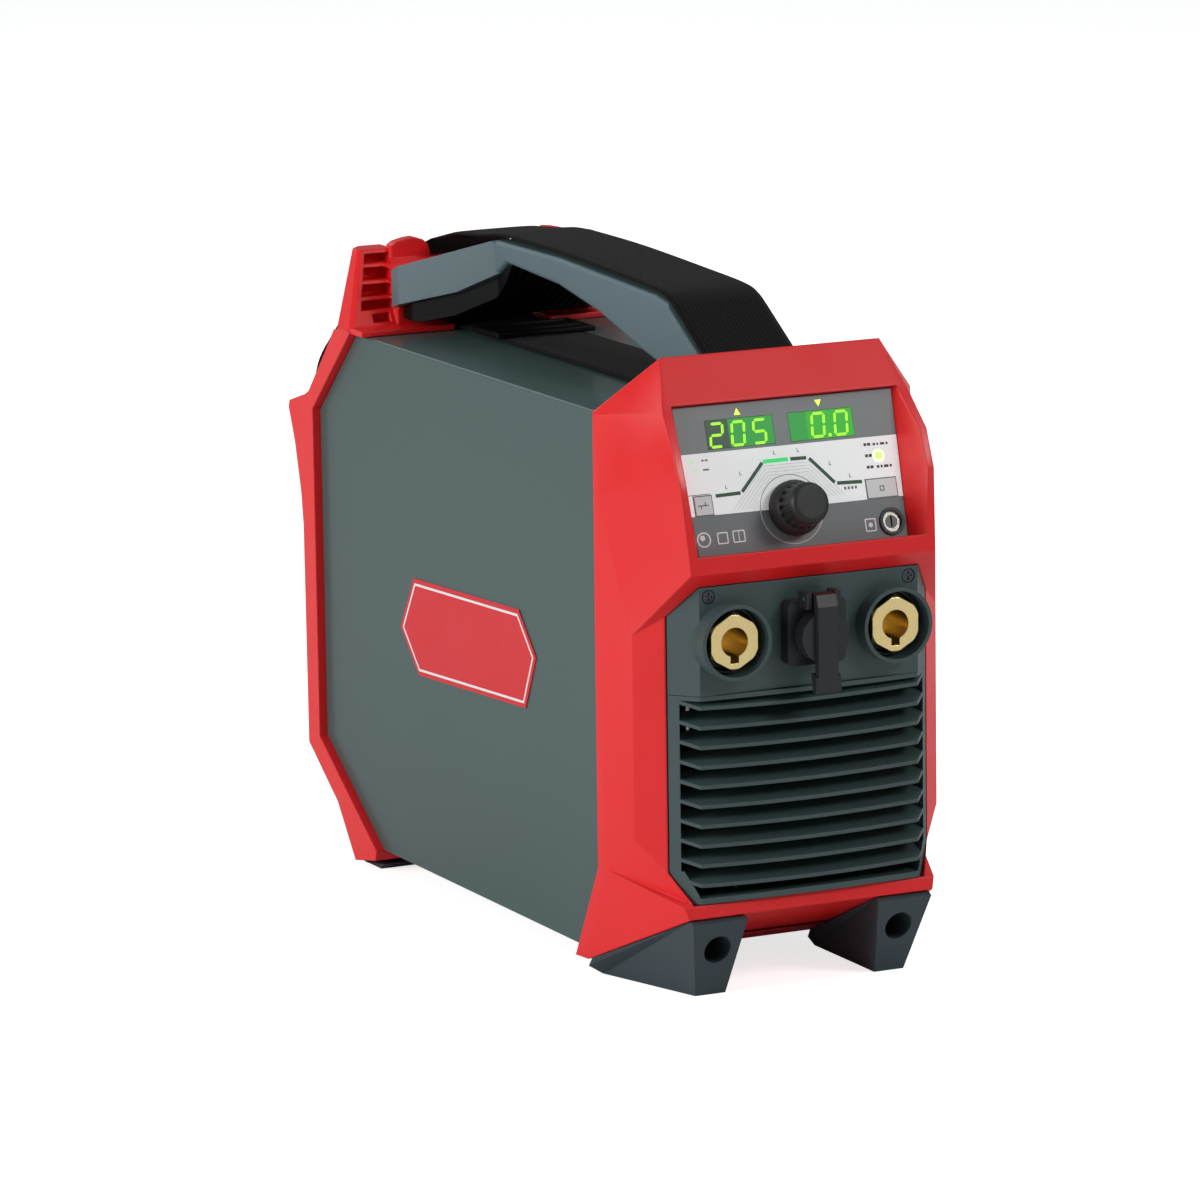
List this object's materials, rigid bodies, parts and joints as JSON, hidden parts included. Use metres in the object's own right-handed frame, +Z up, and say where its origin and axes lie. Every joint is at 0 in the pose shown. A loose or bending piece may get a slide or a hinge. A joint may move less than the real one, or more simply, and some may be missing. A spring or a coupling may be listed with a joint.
{
  "type": "tig welding machine",
  "caption": "Portable inverter TIG welding power source with leaning control panel under a hood, two current sockets, capped torch port, louvred front, top handle and carrying strap.",
  "frame": {"origin": "middle of the bounding box in plan, on the plane the feet stand on", "axes": "+Z up; +Y from the control panel towards the mains side; +X to the right seen from the front"},
  "size_m": [0.16, 0.4128, 0.3123],
  "materials": {
    "aluminium": "milled",
    "badge_red": "gloss",
    "black_plastic": "satin",
    "brass": "machined",
    "chrome": "polished",
    "circuit_board": "lacquered",
    "copper": "enamelled wire",
    "dark_plastic": "fine textured",
    "ferrite": "matte",
    "filter_foam": "open foam",
    "foil": "semi-gloss film",
    "handle_plastic": "fine textured",
    "housing_red": "satin",
    "lens": "gloss",
    "rubber_black": "matte",
    "sheet_slate": "gloss",
    "steel": "brushed",
    "tray_zinc": "satin",
    "webbing": "woven",
    "zinc_steel": "zinc plated"
  },
  "bodies": {
    "root": {"base_tray": "tray_zinc", "board_pillars": "black_plastic", "busbars": "copper", "cable_gland": "black_plastic", "capacitors": "aluminium", "carrying_handle": "handle_plastic", "carrying_strap": "webbing", "choke_core": "ferrite", "choke_winding": "copper", "connector_hinge_pin": "steel", "control_board": "circuit_board", "control_connector_housing": "black_plastic", "control_connector_insert": "black_plastic", "control_panel_carrier": "black_plastic", "control_panel_foil": "foil", "current_sensor": "black_plastic", "current_socket_minus": "brass", "current_socket_plus": "brass", "display_lenses": "lens", "emc_filter": "black_plastic", "encoder_body": "zinc_steel", "fan_guard": "steel", "fan_housing": "black_plastic", "fasteners": "zinc_steel", "front_feet": "rubber_black", "front_frame": "housing_red", "front_grille": "dark_plastic", "gas_hose": "rubber_black", "gas_inlet_connector": "brass", "gas_valve": "brass", "handle_insert": "black_plastic", "heat_sink": "aluminium", "hf_ignition_unit": "dark_plastic", "housing_cover": "sheet_slate", "lock_housing": "black_plastic", "mains_cable": "rubber_black", "mains_switch_body": "black_plastic", "power_board": "circuit_board", "power_modules": "black_plastic", "rear_feet": "rubber_black", "rear_frame": "housing_red", "rear_panel": "dark_plastic", "side_badges": "badge_red", "socket_insulators": "black_plastic", "socket_plate": "dark_plastic", "strap_buckle": "black_plastic", "transformer_core": "ferrite", "transformer_winding": "copper", "wiring_loom": "rubber_black"},
    "encoder_shaft": {"encoder_shaft": "steel"},
    "adjusting_knob": {"adjusting_knob": "black_plastic"},
    "mode_key": {"mode_key": "dark_plastic"},
    "process_key": {"process_key": "dark_plastic"},
    "lock_barrel": {"lock_barrel": "chrome"},
    "connector_cap": {"connector_cap": "black_plastic"},
    "mains_rocker": {"mains_rocker": "black_plastic"},
    "fan_rotor": {"fan_rotor": "black_plastic"},
    "gas_valve_plunger": {"gas_valve_plunger": "steel"},
    "filter_holder": {"filter_holder": "dark_plastic", "dust_filter": "filter_foam"}
  },
  "joints": [
    {"name": "knob_press", "type": "slide", "parent": "root", "child": "encoder_shaft", "axis": [0, 0.9541, -0.2995], "range_m": [0, 0.0008]},
    {"name": "knob_turn", "type": "hinge", "parent": "encoder_shaft", "child": "adjusting_knob", "pos_m": [-0.0034, -0.17869, 0.2186], "axis": [0, -0.9541, 0.2995], "continuous": true},
    {"name": "mode_key_press", "type": "slide", "parent": "root", "child": "mode_key", "axis": [0, 0.9541, -0.2995], "range_m": [0, 0.0005]},
    {"name": "process_key_press", "type": "slide", "parent": "root", "child": "process_key", "axis": [0, 0.9541, -0.2995], "range_m": [0, 0.0005]},
    {"name": "lock_turn", "type": "hinge", "parent": "root", "child": "lock_barrel", "pos_m": [0.0456, -0.18174, 0.20887], "axis": [0, -0.9541, 0.2995], "range_deg": [0, 90]},
    {"name": "cap_swing", "type": "hinge", "parent": "root", "child": "connector_cap", "pos_m": [0, -0.199, 0.1816], "axis": [-1, 0, 0], "range_deg": [0, 110]},
    {"name": "mains_rocker_tilt", "type": "hinge", "parent": "root", "child": "mains_rocker", "pos_m": [-0.044, 0.171, 0.19], "axis": [1, 0, 0], "range_deg": [-20, 0]},
    {"name": "fan_spin", "type": "hinge", "parent": "root", "child": "fan_rotor", "pos_m": [0, 0.16, 0.116], "axis": [0, 1, 0], "continuous": true},
    {"name": "gas_valve_lift", "type": "slide", "parent": "root", "child": "gas_valve_plunger", "axis": [0, 0, 1], "range_m": [0, 0.003]},
    {"name": "filter_pull", "type": "slide", "parent": "root", "child": "filter_holder", "axis": [0, 1, 0], "range_m": [0, 0.03]}
  ]
}
